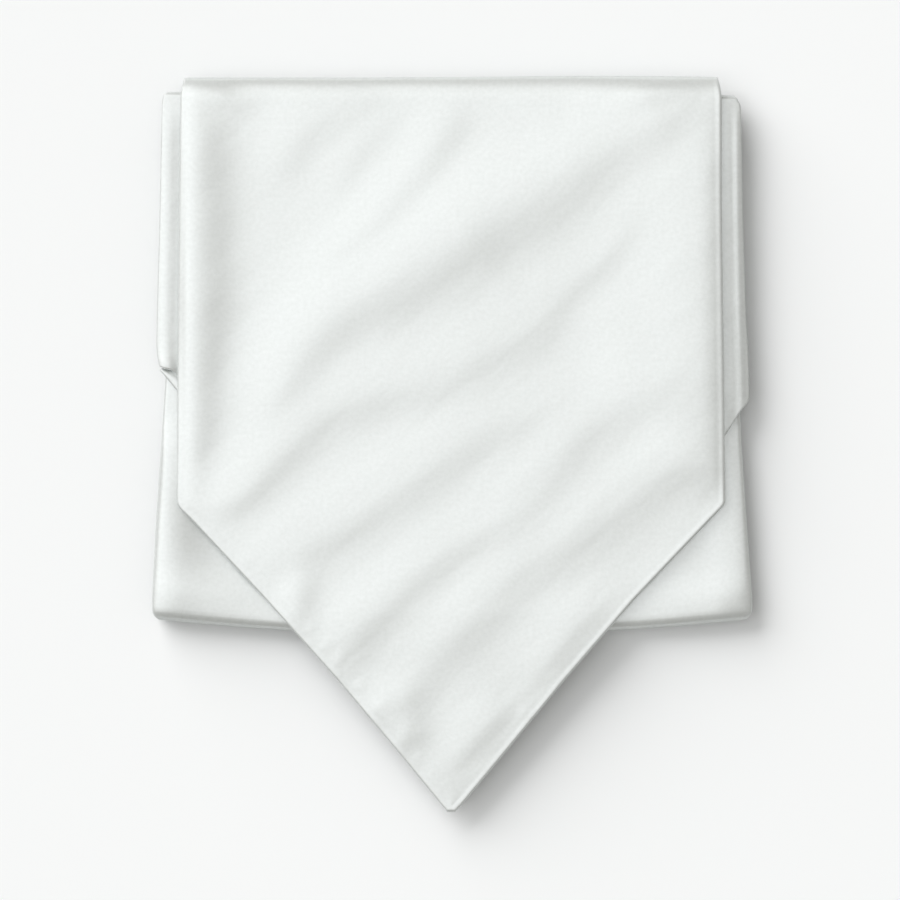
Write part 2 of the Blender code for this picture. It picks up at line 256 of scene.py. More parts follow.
def edges_at(outline, y):
    """Left and right edge of a strip at this height, read between the rows of its table."""
    table = np.array(sorted(outline))
    return np.interp(y, table[:, 0], table[:, 1]), np.interp(y, table[:, 0], table[:, 2])


def flat_rows(outline, y, level, raised, fold_y, fade):
    """A flat stretch. Close to the fold it takes the fold's drift from a straight line."""
    left, right = edges_at(outline, y)
    drift = smooth(1.0 - np.abs(y - fold_y) / fade)
    return Rows(y, np.full(len(y), level), left, right, np.full(len(y), raised), drift)


def fold_rows(before, after, bulge, fullness=1.0):
    """Rows round a fold from the last row of one stretch to the first row of the next."""
    angle = np.linspace(0.0, math.pi, FOLD_STEPS + 1)[1:-1]
    share = (1.0 - np.cos(angle)) / 2.0
    mixed = Rows(*(near[-1] + (far[0] - near[-1]) * share for near, far in zip(before, after)))
    inset = FOLD_CORNER * np.sin(angle) ** 2
    return mixed._replace(
        y=mixed.y + bulge * np.sin(angle) ** fullness,
        left=mixed.left + inset,
        right=mixed.right - inset,
    )


def join_rows(*parts):
    """One strip from stretches and folds in their order."""
    return Rows(*(np.concatenate(column) for column in zip(*parts)))


def steps(start, end, spacing):
    """Places from start up to, but without, end."""
    count = max(2, round(abs(end - start) / spacing))
    return np.linspace(start, end, count + 1)[:-1]


# %% [markdown]
# ## From rows to a shell of cloth
# Satin is far thinner than a blade is: a blade is two layers of satin with a soft interlining, sewn together and
# turned, so its edge is a round roll and not a cut. The rows become a grid with many columns close to the edges. A
# Solidify modifier gives the grid its thickness, and a vertex group thins it to nothing at the edge along a quarter
# circle, which makes the roll. The grid's own distances in metres are its UV map, so the weave follows the cloth
# round each fold.

# %% Lay out a grid
EDGE_PLACES = np.array((0.0, 0.1, 0.25, 0.45, 0.7, 1.0, 1.35, 1.8, 2.4, 3.2, 4.2))
NARROW_ROW = 4.0 * EDGE_PLACES[-1]
# keeps the numbers of the UV map above zero
UV_SHIFT = 100.0
Laid = collections.namedtuple("Laid", "x y z edge uv")


def lay(rows, columns, drift):
    """Points of the grid with no relief yet, with each point's distance from the cloth's edge."""
    width = rows.right - rows.left
    squeeze = np.minimum(1.0, width / NARROW_ROW)[:, None]
    near = rows.left[:, None] + EDGE_PLACES * squeeze
    far = rows.right[:, None] - EDGE_PLACES[::-1] * squeeze
    share = np.linspace(0.0, 1.0, columns + 2)[1:-1]
    middle = near[:, -1:] + (far[:, :1] - near[:, -1:]) * share
    x = np.hstack([near, middle, far])
    y = rows.y[:, None] + rows.drift[:, None] * drift(x)
    z = np.repeat(rows.z[:, None], x.shape[1], axis=1)
    run = np.concatenate([[0.0], np.cumsum(np.hypot(np.diff(rows.y), np.diff(rows.z)))])
    left_slant = 1.0 / np.hypot(1.0, np.gradient(rows.left, run))[:, None]
    right_slant = 1.0 / np.hypot(1.0, np.gradient(rows.right, run))[:, None]
    edge = np.minimum((x - rows.left[:, None]) * left_slant, (rows.right[:, None] - x) * right_slant)
    edge = np.minimum(edge, np.minimum(run, run[-1] - run)[:, None])
    uv = np.stack([x + UV_SHIFT, np.repeat(run[:, None], x.shape[1], axis=1)], axis=2) * MM
    return Laid(x, y, z, np.maximum(edge, 0.0), uv)


# %% Make the shell
EDGE_LEAST = 0.1


def bake_modifiers(obj):
    """Gives the object the plain mesh that its modifiers make."""
    depsgraph = bpy.context.evaluated_depsgraph_get()
    evaluated = obj.evaluated_get(depsgraph)
    mesh = bpy.data.meshes.new_from_object(evaluated, preserve_all_data_layers=True, depsgraph=depsgraph)
    obj.modifiers.clear()
    obj.vertex_groups.clear()
    raw, obj.data = obj.data, mesh
    bpy.data.meshes.remove(raw)
    mesh.name = obj.name


def shell(name, laid, thickness, roll, material):
    """A closed shell of cloth round the grid, rolled at its edges."""
    rows, columns = laid.x.shape
    bm = bmesh.new()
    bmesh.ops.create_grid(bm, x_segments=columns - 1, y_segments=rows - 1, size=1.0)
    mesh = bpy.data.meshes.new(name)
    bm.to_mesh(mesh)
    bm.free()
    points = np.stack([laid.x, laid.y, laid.z], axis=2) * MM
    mesh.vertices.foreach_set("co", points.ravel())
    corners = np.empty(len(mesh.loops), int)
    mesh.loops.foreach_get("vertex_index", corners)
    layer = mesh.uv_layers.new(name="cloth")
    layer.data.foreach_set("uv", laid.uv.reshape(-1, 2)[corners].ravel())
    mesh.materials.append(material)
    obj = bpy.data.objects.new(name, mesh)
    bpy.context.scene.collection.objects.link(obj)
    group = obj.vertex_groups.new(name="thickness")
    weights = np.sqrt(np.clip(1.0 - (1.0 - np.clip(laid.edge / roll, 0.0, 1.0)) ** 2, 0.0, 1.0)).ravel()
    for weight in np.unique(weights.round(2)):
        chosen = np.flatnonzero(weights.round(2) == weight)
        group.add(chosen.tolist(), max(EDGE_LEAST, float(weight)), "REPLACE")
    wall = obj.modifiers.new("wall", "SOLIDIFY")
    wall.thickness = thickness * MM
    wall.offset = 0.0
    wall.vertex_group = group.name
    bake_modifiers(obj)
    obj.data.shade_smooth()
    size = (np.array(obj.bound_box).max(axis=0) - np.array(obj.bound_box).min(axis=0)) / MM
    print(name, "faces:", len(obj.data.polygons), "size in mm:", size.round(1))
    return obj


# %% [markdown]
# ## Satin
# Satin is woven so that most of each warp thread floats on the face, which is why it shines, and the shine is broad
# and soft because the threads aren't a mirror. A purely matt white would look like paper. Here the shader has some of
# a rough metal's mirror in it, which catches the bright side of the sky on every slope. The group below draws the
# threads and their scattered binding points from the cloth's own UV map, and adds the fine grain of spun silk.

# %% Weave group
RIPPLE_TURN = 40.0
RIPPLE_STRETCH = 3.0
THREAD_WIDTH = 0.00022
FLOAT_LENGTH = 0.0016
BINDING_SHARE = 0.12


def add_node(tree, kind, operation=None, **values):
    """A new node. A value such as _1=0.5 goes into its input 1."""
    node = tree.nodes.new(kind)
    if operation:
        node.operation = operation
    for key, value in values.items():
        node.inputs[int(key[1:])].default_value = value
    return node


def satin_weave_group():
    """Height and shade of a satin weave. Thread and Float are in metres; Step is the binding's sideways shift."""
    tree = bpy.data.node_groups.new("satin_weave", "ShaderNodeTree")
    for name, kind, value in (
        ("UV", "NodeSocketVector", None),
        ("Thread", "NodeSocketFloat", THREAD_WIDTH),
        ("Float", "NodeSocketFloat", FLOAT_LENGTH),
        ("Step", "NodeSocketFloat", 0.375),
        ("Grain Scale", "NodeSocketFloat", 900.0),
        ("Grain", "NodeSocketFloat", 0.9),
        ("Ripple Scale", "NodeSocketFloat", 120.0),
        ("Ripple", "NodeSocketFloat", 12.0),
    ):
        socket = tree.interface.new_socket(name, in_out="INPUT", socket_type=kind)
        if value is not None:
            socket.default_value = value
    for name in ("Height", "Shade"):
        tree.interface.new_socket(name, in_out="OUTPUT", socket_type="NodeSocketFloat")
    given = tree.nodes.new("NodeGroupInput").outputs
    put = tree.nodes.new("NodeGroupOutput").inputs
    link = tree.links.new
    split = add_node(tree, "ShaderNodeSeparateXYZ")
    link(given["UV"], split.inputs[0])
    across = add_node(tree, "ShaderNodeMath", "DIVIDE")
    link(split.outputs["X"], across.inputs[0])
    link(given["Thread"], across.inputs[1])
    index = add_node(tree, "ShaderNodeMath", "FLOOR")
    link(across.outputs[0], index.inputs[0])
    round_thread = add_node(tree, "ShaderNodeMath", "PINGPONG", _1=0.5)
    link(across.outputs[0], round_thread.inputs[0])
    along = add_node(tree, "ShaderNodeMath", "DIVIDE")
    link(split.outputs["Y"], along.inputs[0])
    link(given["Float"], along.inputs[1])
    shifted = add_node(tree, "ShaderNodeMath", "MULTIPLY_ADD")
    link(index.outputs[0], shifted.inputs[0])
    link(given["Step"], shifted.inputs[1])
    link(along.outputs[0], shifted.inputs[2])
    floating = add_node(tree, "ShaderNodeMath", "PINGPONG", _1=0.5)
    link(shifted.outputs[0], floating.inputs[0])
    bound = add_node(tree, "ShaderNodeMapRange", _1=0.0, _2=BINDING_SHARE, _3=0.0, _4=1.0)
    link(floating.outputs[0], bound.inputs[0])
    threads = add_node(tree, "ShaderNodeMath", "MULTIPLY")
    link(round_thread.outputs[0], threads.inputs[0])
    link(bound.outputs[0], threads.inputs[1])
    grain = tree.nodes.new("ShaderNodeTexNoise")
    grain.inputs["Detail"].default_value = 3.0
    link(given["UV"], grain.inputs["Vector"])
    link(given["Grain Scale"], grain.inputs["Scale"])
    height = add_node(tree, "ShaderNodeMath", "MULTIPLY_ADD")
    link(grain.outputs[0], height.inputs[0])
    link(given["Grain"], height.inputs[1])
    link(threads.outputs[0], height.inputs[2])
    turned = tree.nodes.new("ShaderNodeMapping")
    turned.vector_type = "TEXTURE"
    turned.inputs["Rotation"].default_value = (0.0, 0.0, math.radians(RIPPLE_TURN))
    turned.inputs["Scale"].default_value = (RIPPLE_STRETCH, 1.0, 1.0)
    link(given["UV"], turned.inputs["Vector"])
    ripple = tree.nodes.new("ShaderNodeTexNoise")
    ripple.inputs["Detail"].default_value = 2.0
    link(turned.outputs["Vector"], ripple.inputs["Vector"])
    link(given["Ripple Scale"], ripple.inputs["Scale"])
    whole = add_node(tree, "ShaderNodeMath", "MULTIPLY_ADD")
    link(ripple.outputs[0], whole.inputs[0])
    link(given["Ripple"], whole.inputs[1])
    link(height.outputs[0], whole.inputs[2])
    link(whole.outputs[0], put["Height"])
    link(grain.outputs[0], put["Shade"])
    return tree


WEAVE = satin_weave_group()

# %% Satin
SATIN_LIGHT = (0.920, 0.947, 0.937, 1.0)
SATIN_DEEP = (0.790, 0.817, 0.800, 1.0)
SATIN_METAL = 0.60
SATIN_ROUGH = 0.30
SATIN_SHEEN = 0.05
SATIN_SHEEN_ROUGH = 0.4
WEAVE_DEPTH = 0.000012


def color_and_bump(tree, shade, light, height):
    """Colour, deep to light, follows satin grain and painted shade between thread plies; height makes the relief."""
    shader = tree.nodes["Principled BSDF"]
    color = tree.nodes.new("ShaderNodeMix")
    color.data_type = "RGBA"
    color.inputs["A"].default_value = SATIN_DEEP
    color.inputs["B"].default_value = light
    tree.links.new(shade, color.inputs["Factor"])
    tree.links.new(color.outputs["Result"], shader.inputs["Base Color"])
    bump = tree.nodes.new("ShaderNodeBump")
    bump.inputs["Distance"].default_value = WEAVE_DEPTH
    tree.links.new(height, bump.inputs["Height"])
    tree.links.new(bump.outputs["Normal"], shader.inputs["Normal"])
    return shader


def satin_material():
    material = bpy.data.materials.new("pale_satin")
    material.use_nodes = True
    tree = material.node_tree
    uv = tree.nodes.new("ShaderNodeUVMap")
    uv.uv_map = "cloth"
    weave = tree.nodes.new("ShaderNodeGroup")
    weave.node_tree = WEAVE
    tree.links.new(uv.outputs["UV"], weave.inputs["UV"])
    shader = color_and_bump(tree, weave.outputs["Shade"], SATIN_LIGHT, weave.outputs["Height"])
    shader.inputs["Roughness"].default_value = SATIN_ROUGH
    shader.inputs["Metallic"].default_value = SATIN_METAL
    shader.inputs["Sheen Weight"].default_value = SATIN_SHEEN
    shader.inputs["Sheen Roughness"].default_value = SATIN_SHEEN_ROUGH
    return material


SATIN = satin_material()

# %% [markdown]
# ## The stack
# Eight layers lie on each other. Their levels are counted up from the frame's underside, by the thickness of a layer
# and the gap between two. The front blade is the top one, the second blade lies just under it, its lower fold shows
# under that, and the underside rests on the table. All but the underside swell a little over the hidden layers, so
# the same crown lifts each.

# %% Levels
WALL = 1.2
GAP = 0.3
CORE_RISE = 5.1
CORE_BOTTOM = WALL + GAP
CORE_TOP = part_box("lower_fold")[0][2] / MM + CORE_RISE
UNDERSIDE_LEVEL = WALL / 2
LOWER_LEVEL = CORE_TOP + GAP + WALL / 2
SECOND_LEVEL = LOWER_LEVEL + WALL + GAP
FRONT_LEVEL = SECOND_LEVEL + WALL + GAP
FRONT_BACK_LEVEL = CORE_TOP - WALL / 2
INNER_BACK_LEVEL = FRONT_BACK_LEVEL - WALL - GAP

# %% Crown, margins and droop
CROWN = 1.0
CROWN_HALF_WIDTH = 82.0
CROWN_MIDDLE_Y = 24.0
CROWN_HALF_LENGTH = 70.0
DROOP_START = -46.0
TIP_Y = CAD_LOW[1]
TIP_DROP = 2.7
DROOP_POWER = 1.2
LEFT_MARGIN = (-77.0, 6.0, 0.6, 2.0)
RIGHT_MARGIN = (73.5, 9.5, 1.05, 1.2)


def crown(x, y):
    """Height that the hidden layers add under the middle of the packet."""
    along = np.clip(1.0 - ((y - CROWN_MIDDLE_Y) / CROWN_HALF_LENGTH) ** 2, 0.0, None) ** 2
    return CROWN * along * np.clip(1.0 - (x / CROWN_HALF_WIDTH) ** 2, 0.0, None)


def margin_drop(x):
    """Sag of the second blade's margins past the hidden layers: each has its start, width, drop and power."""
    total = 0.0
    for start, width, drop, power in (LEFT_MARGIN, RIGHT_MARGIN):
        total = total + drop * np.clip((x - start) * np.sign(start) / width, 0.0, 1.0) ** power
    return total


def droop(y):
    """Sag of the blade's point, which hangs past the packet."""
    return TIP_DROP * np.clip((DROOP_START - y) / (DROOP_START - TIP_Y), 0.0, 1.0) ** DROOP_POWER


# %% [markdown]
# ## The front blade
# This is the wide pointed blade on top. Its folds run from the upper right to the lower left, where the cloth was
# drawn across as it was folded. They are set down one by one: each has its own line, and it is broader on one flank
# than on the other. Close to the sewn edges the satin puckers in short wrinkles square to the seam, and the seam
# itself is a fine roll with a groove behind it.

# %% Front blade: outline and creases
FRONT_OUTLINE = (
    (97.0, -75.1, 74.5),
    (67.8, -75.5, 74.5),
    (40.2, -75.8, 74.8),
    (12.5, -76.0, 75.2),
    (-15.4, -76.1, 75.5),
    (-16.6, -75.9, 75.2),
    (-17.6, -75.2, 74.2),
    (-20.6, -72.1, 71.3),
    (-42.7, -51.5, 50.3),
    (-64.8, -31.8, 31.3),
    (-86.9, -13.3, 13.2),
    (-99.3, -3.2, 2.9),
    (TIP_Y, -1.3, 0.8),
)
FRONT_CREASES = (
    # the rolls along the left and the right edge
    Crease(
        ((-72.2, 112), (-72.2, 70), (-72.2, 40), (-72.2, 10), (-72.4, -22)),
        (1.45, 2.0, 0.3), (2.4, 2.4, 2.0), (6.8, 7.2, 3.0),
    ),
    Crease(
        ((68.8, 112), (68.4, 60), (68.8, 20), (69.8, 0), (73.0, -18)),
        (1.5, 1.6, 0.35), (15, 15, 7), (6.2, 6.4, 3.0),
    ),
    # the long fold from the top right corner to the left edge
    Crease(
        ((74, 100), (66, 96), (58, 92), (52, 89.5), (44, 86), (36, 81), (28.5, 74.5), (21.5, 70), (8.5, 64),
         (-3, 56.5), (-12.5, 50), (-21, 44.5), (-31, 39), (-39.5, 30.5), (-45, 22.5), (-49.5, 14.5), (-54, 7),
         (-58, -1)),
        (0.5, 1.95, 0.45), (8, 11, 5), (4.6, 10.5, 2.6),
    ),
    # the fold above it
    Crease(
        ((11, 110), (4, 96), (-2.5, 87.5), (-9.5, 77.5), (-16.5, 70), (-23, 62.5), (-29, 57), (-37, 50.5), (-44, 46)),
        (0.5, 0.6, 0.25), (5, 6, 4), (3.6, 4.2, 2.6),
    ),
    # the long fold below it, which ends at the left corner
    Crease(
        ((58, 84), (51, 70), (46, 61), (40, 52), (34.5, 47.5), (29, 42.5), (24, 37), (16.5, 31.5), (7.5, 27),
         (0, 22), (-9.5, 18), (-19.5, 16.5), (-30, 12.5), (-37, 9), (-43, 3.5), (-48, -1.5), (-53, -7),
         (-57.5, -12), (-63, -14.8), (-70, -16), (-82, -17)),
        (0.3, 0.68, 0.78), (8, 9, 5), (3.6, 5.6, 3.4),
    ),
    # the middle folds
    Crease(
        ((38, 20), (27, 13), (16, 7.5), (7.5, 4.5), (-0.5, -1), (-7.5, -6), (-14.5, -11), (-22.5, -16),
         (-30.5, -20.5), (-38, -24.5), (-47, -28.5), (-54, -31), (-62, -32)),
        (0.25, 0.75, 0.56), (6, 8, 7), (4, 5.8, 5.0),
    ),
    Crease(((-38, -27), (-42, -38), (-43.5, -46), (-43, -64)), (0.25, 0.55, 0.35), (3.5, 3, 3), (4.0, 3.8, 3.2)),
    Crease(
        ((72, 24), (63, 19), (56, 16), (48, 12.5), (41, 8), (34.5, 3.5), (29, -3.5), (24, -9.5), (19, -15),
         (12.5, -20.5), (5.5, -24), (-2.5, -28.5), (-9.5, -34.5), (-15, -39.5), (-23, -46.5), (-29, -53.5),
         (-33, -62), (-42, -84)),
        (0.3, 0.62, 0.65), (6, 8, 5), (5.0, 5.0, 3.8),
    ),
    Crease(
        ((82, 0), (74, -2), (69, -3), (63, -3.5), (58, -5.5), (53, -9.5), (47, -14), (41, -18), (34, -23),
         (26, -28.5), (18, -33.5), (11, -40), (4, -47.5), (-1.5, -52.5), (-7.5, -58), (-12, -64), (-16, -70)),
        (0.28, 0.7, 0.4), (6, 7, 6), (5.0, 6.0, 5.2),
    ),
    # the short folds beside the point
    Crease(
        ((54, -27), (48, -34), (42, -41.5), (37.5, -46), (32.5, -51), (27.5, -57.5), (23, -63.5), (19.5, -70.5),
         (16.5, -80)),
        (0.2, 0.4, 0.25), (6, 6, 4), (3.0, 3.4, 2.4),
    ),
    Crease(
        ((22, -65), (17, -70.5), (13, -73.5), (9.5, -76.5), (5, -81.5), (1.5, -86), (-1.5, -92), (-3, -100)),
        (0.25, 0.42, 0.2), (4, 5, 3), (2.6, 3.6, 2.8),
    ),
    Crease(
        ((-3, -58), (-9.5, -65), (-13.5, -69), (-18.5, -72.5), (-22.5, -77), (-30, -90)),
        (0.25, 0.5, 0.4), (4, 4, 3), (3.4, 3.8, 3.0),
    ),
    Crease(
        ((-2, -67), (-9.5, -74), (-12.5, -78.5), (-15.5, -83.5), (-22, -96)),
        (0.15, 0.42, 0.3), (4.0, 3.6, 3.0), (4, 3.8, 3.0),
    ),
    # faint pulls under the top fold and beside the right edge
    Crease(
        ((-18, 97), (-24, 94), (-35, 91), (-42, 87), (-47, 80), (-50, 72), (-51, 62)),
        (0.28, 0.5, 0.28), (6, 6, 6), (4.5, 4.5, 4.5),
    ),
    Crease(
        ((-12, 92), (-17, 88), (-26, 82), (-31, 75), (-35, 68), (-44, 56)),
        (0.2, 0.34, 0.2), (5, 5, 5), (3.6, 3.6, 3),
    ),
    Crease(((33, 92), (27, 93), (18, 92.5), (9, 93.5), (2, 95)), (0.18, 0.3, 0.18), (4, 4, 4), (5, 5, 5)),
    Crease(((40, 44), (43, 37), (46, 26), (49, 17), (54, 4)), (0.15, 0.25, 0.15), (6, 6, 6), (5, 5, 5)),
    Crease(
        ((70, 99.4), (64, 99), (56, 98.2), (49, 96), (40, 91)),
        (0.15, 0.36, 0.15), (1.6, 2, 2.6), (1.6, 1.9, 2.6),
    ),
    Crease(((-76, 100.5), (-67, 97.2), (-60, 94.8), (-50, 92.4)), (0.15, 0.3, 0.12), (1.8, 2, 2.2), (2, 2.2, 2.4)),
)

# %% Front blade: seam and puckers
PILLOW_DROP_LEFT = 0.28
PILLOW_DROP_RIGHT = -0.06
PILLOW_WIDTH = 5.0
PILLOW_BLEND = 10.0
SEAM_ROLL = 0.02
SEAM_ROLL_AT = 0.85
SEAM_ROLL_WIDTH = 0.38
SEAM_GROOVE = 0.03
SEAM_GROOVE_AT = 1.9
SEAM_GROOVE_WIDTH = 0.5
Pucker = collections.namedtuple("Pucker", "root toward height width")
PUCKER_RISE = 0.25
PUCKER_FALL = 0.6
PUCKER_FLANK = 0.6
PUCKERS = (
    Pucker((-41.0, -52.6), (6.0, 7.0), 0.10, 1.5),
    Pucker((-37.0, -57.3), (6.5, 5.5), 0.08, 1.3),
    Pucker((-33.5, -61.4), (5.0, 6.5), 0.10, 1.4),
    Pucker((-27.5, -68.2), (5.5, 4.0), 0.12, 1.2),
    Pucker((-22.5, -74.5), (6.0, 6.5), 0.06, 1.4),
    Pucker((-18.8, -79.0), (5.0, 5.0), 0.05, 1.2),
    Pucker((-15.4, -83.2), (5.5, 5.5), 0.05, 1.3),
    Pucker((-11.0, -88.3), (4.0, 5.0), 0.06, 1.1),
    Pucker((-58.5, -33.4), (5.0, 4.5), 0.06, 1.6),
    Pucker((-49.0, -43.8), (5.0, 5.0), 0.06, 1.5),
    Pucker((22.0, -76.0), (-4.5, 4.0), 0.08, 1.3),
    Pucker((30.5, -66.0), (-4.5, 4.5), 0.07, 1.4),
)


def seam(edge, x):
    """The sewn edge: a soft pillow that falls away on the left, a fine roll at the seam, a groove behind it."""
    on_right = smooth((x + PILLOW_BLEND) / (2.0 * PILLOW_BLEND))
    drop = PILLOW_DROP_LEFT + (PILLOW_DROP_RIGHT - PILLOW_DROP_LEFT) * on_right
    fall = -drop * (1.0 - smooth(edge / PILLOW_WIDTH))
    roll = SEAM_ROLL * np.exp(-(((edge - SEAM_ROLL_AT) / SEAM_ROLL_WIDTH) ** 2))
    groove = -SEAM_GROOVE * np.exp(-(((edge - SEAM_GROOVE_AT) / SEAM_GROOVE_WIDTH) ** 2))
    return fall + roll + groove


def pucker_height(x, y):
    """Short wrinkles from the seam inwards, strongest a little way in."""
    total = np.zeros_like(x)
    for pucker in PUCKERS:
        reach = math.hypot(*pucker.toward)
        ahead = np.array(pucker.toward) / reach
        dx = x - pucker.root[0]
        dy = y - pucker.root[1]
        along = (dx * ahead[0] + dy * ahead[1]) / reach
        side = dx * ahead[1] - dy * ahead[0]
        body = smooth(along / PUCKER_RISE) * smooth((1.0 - along) / PUCKER_FALL)
        total += pucker.height * body * np.exp(-0.5 * (side / (pucker.width * PUCKER_FLANK)) ** 2)
    return total


# %% Front blade: build it
FRONT_TOP_REACH = CAD_HIGH[1] + 0.2
FRONT_TURN = 5.4
FRONT_FULLNESS = 1.2
FRONT_COLUMNS = 118
FRONT_STEP = 1.0
TIP_LENGTH = 4.0
TIP_STEP = 0.4
HIDDEN_STEP = 2.5
STUB_END = 82.0
TOP_FOLD_FADE = 13.0
TOP_BULGE = 0.5
TOP_BULGE_X = 40.0
TOP_BULGE_WIDTH = 35.0
EDGE_ROLL = 0.6


def front_drift(x):
    """The top fold bows out a little on the right."""
    return TOP_BULGE * np.exp(-(((x - TOP_BULGE_X) / TOP_BULGE_WIDTH) ** 2))


def front_rows():
    """From the tip up the front, over the top fold and a little way down behind."""
    fold_y = FRONT_TOP_REACH - FRONT_TURN - WALL / 2
    tip_end = TIP_Y + TIP_LENGTH
    up = np.concatenate([steps(TIP_Y, tip_end, TIP_STEP), steps(tip_end, fold_y, FRONT_STEP), [fold_y]])
    front = flat_rows(FRONT_OUTLINE, up, FRONT_LEVEL, 1.0, fold_y, TOP_FOLD_FADE)
    down = np.concatenate([steps(fold_y, STUB_END, HIDDEN_STEP), [STUB_END]])
    back = flat_rows(FRONT_OUTLINE, down, FRONT_BACK_LEVEL, 0.0, fold_y, TOP_FOLD_FADE)
    return join_rows(front, fold_rows(front, back, FRONT_TURN, FRONT_FULLNESS), back)


def front_face(x, y, edge):
    """How far the front blade stands above its level, with its folds, puckers, seam and drooping point."""
    folds = relief(FRONT_CREASES, x, y) + pucker_height(x, y)
    return crown(x, y) + folds + seam(edge, x) - droop(y)


def build_front_blade():
    rows = front_rows()
    laid = lay(rows, FRONT_COLUMNS, front_drift)
    z = laid.z + rows.raised[:, None] * front_face(laid.x, laid.y, laid.edge)
    return shell("front_blade_satin", laid._replace(z=z), WALL, EDGE_ROLL, SATIN), laid


front_blade, front_laid = build_front_blade()

# %% [markdown]
# ## The second blade
# The other blade lies just under the first and is a little wider, so it shows as a narrow strip on both sides. At its
# left shoulder the face has puffed up into a lip, and the turned hem looks out below it. At its right shoulder the
# hem stays closed and runs down under the front blade.

# %% Second blade: outline and form
SECOND_OUTLINE = (
    (97.0, -79.2, 77.2),
    (96.6, -79.6, 78.2),
    (96.0, -79.9, 79.1),
    (95.0, -80.2, 79.7),
    (94.0, -80.3, 79.9),
    (67.8, -80.8, 80.3),
    (34.6, -81.7, 81.3),
    (27.5, -81.8, 81.8),
    (24.5, -81.5, 81.9),
    (22.2, -81.0, 82.0),
    (21.8, -80.8, 82.0),
    (21.5, -80.2, 82.0),
    (21.3, -79.0, 82.0),
    (20.8, -77.8, 82.1),
    (20.1, -76.9, 82.1),
    (19.2, -76.0, 82.1),
    (18.6, -75.4, 82.1),
    (13.2, -73.0, 82.2),
    (12.3, -72.7, 82.0),
    (11.2, -72.2, 81.3),
    (9.8, -71.6, 80.1),
    (7.0, -70.4, 78.3),
    (1.5, -67.5, 74.8),
    (-40.0, -32.0, 34.0),
    (-70.0, -3.0, 3.0),
)
SECOND_CREASES = (
    # the left strip: its bright roll, and the hollow beside the front blade
    Crease(((-78.9, 118), (-79.3, 60), (-79.8, 34), (-79.6, 6)), (0.4, 0.5, 0.55), (1.1, 1.1, 1.1), (2.6, 2.6, 2.6)),
    Crease(
        ((-73.4, 118), (-73.7, 60), (-74.0, 34), (-74.2, 6)),
        (-0.15, -0.36, -0.6), (2.7, 2.7, 2.7), (2.0, 2.0, 2.0),
    ),
    # the right strip: a soft ridge, and the fine light line at its edge
    Crease(((74.2, 118), (74.6, 60), (75.0, 30), (76.0, -10)), (0.3, 0.35, 0.3), (1.2, 1.2, 1.2), (3.0, 3.0, 3.0)),
    Crease(((78.6, 118), (79.0, 60), (79.6, 30), (80.6, -10)), (0.2, 0.24, 0.2), (0.7, 0.7, 0.7), (0.8, 0.8, 0.8)),
)
LIP = Crease(
    ((-90, 20.1), (-82.0, 21.8), (-79.4, 22.5), (-77.4, 22.0), (-75.0, 20.9), (-66, 16)),
    (0.5, 0.6, 0.5), (2.6, 2.6, 2.6), (1.6, 1.6, 1.6),
)
SECOND_TOP_REACH = 97.35
SECOND_TURN = (SECOND_LEVEL - LOWER_LEVEL) / 2
SECOND_TOP_SLOPE = 0.0068
SECOND_COLUMNS = 52
SECOND_EDGE_ROLL = 0.35
SECOND_STEPS = ((-70.0, -6.0, 3.2), (-6.0, 19.0, 0.8), (19.0, 24.6, 0.2), (24.6, 90.0, 2.6), (90.0, 94.0, 1.0))
SECOND_FOLD_STEP = 0.35
LIP_ENDS = -60.0
LIP_BLEND = 8.0
SAME_LEVEL = 0.1
FACE_ENDS = 96.0
FACE_BLEND = 8.0
STRIP_STARTS = 70.0
STRIP_BLEND = 6.0


def second_drift(x):
    """Its top fold falls a little to the right."""
    return -SECOND_TOP_SLOPE * x


def lip(x, y):
    """The face of the cloth puffs up into a lip over the turned hem, on the left side only."""
    return crease_height(LIP, x, y) * smooth((LIP_ENDS - x) / LIP_BLEND)


def second_rows():
    """From the hidden point up the front, over its own top fold, to where the lower fold takes over."""
    fold_y = SECOND_TOP_REACH - SECOND_TURN - WALL / 2
    near_fold = steps(SECOND_STEPS[-1][1], fold_y, SECOND_FOLD_STEP)
    up = np.concatenate([*(steps(*stretch) for stretch in SECOND_STEPS), near_fold, [fold_y]])
    front = flat_rows(SECOND_OUTLINE, up, SECOND_LEVEL, 1.0, fold_y, TOP_FOLD_FADE)
    down = np.concatenate([steps(fold_y, STUB_END + GAP, HIDDEN_STEP), [STUB_END + GAP]])
    back = flat_rows(SECOND_OUTLINE, down, LOWER_LEVEL, 1.0, fold_y, TOP_FOLD_FADE)
    return join_rows(front, fold_rows(front, back, SECOND_TURN), back)


def build_second_blade():
    rows = second_rows()
    laid = lay(rows, SECOND_COLUMNS, second_drift)
    height = crown(laid.x, laid.y) - margin_drop(laid.x) - droop(laid.y)
    on_face = (laid.z > SECOND_LEVEL - SAME_LEVEL) * smooth((FACE_ENDS - laid.y) / FACE_BLEND)
    face = relief(SECOND_CREASES, laid.x, laid.y) + lip(laid.x, laid.y)
    under_front = smooth((np.abs(laid.x) - STRIP_STARTS) / STRIP_BLEND)
    z = laid.z + rows.raised[:, None] * (height + on_face * face * under_front)
    return shell("second_blade_satin", laid._replace(z=z), WALL, SECOND_EDGE_ROLL, SATIN), laid


second_blade, second_laid = build_second_blade()

# %% [markdown]
# ## The turned hem
# Below the lip the cloth of the hem turns back on itself. It is a narrow band at a slant, round on its lower edge.

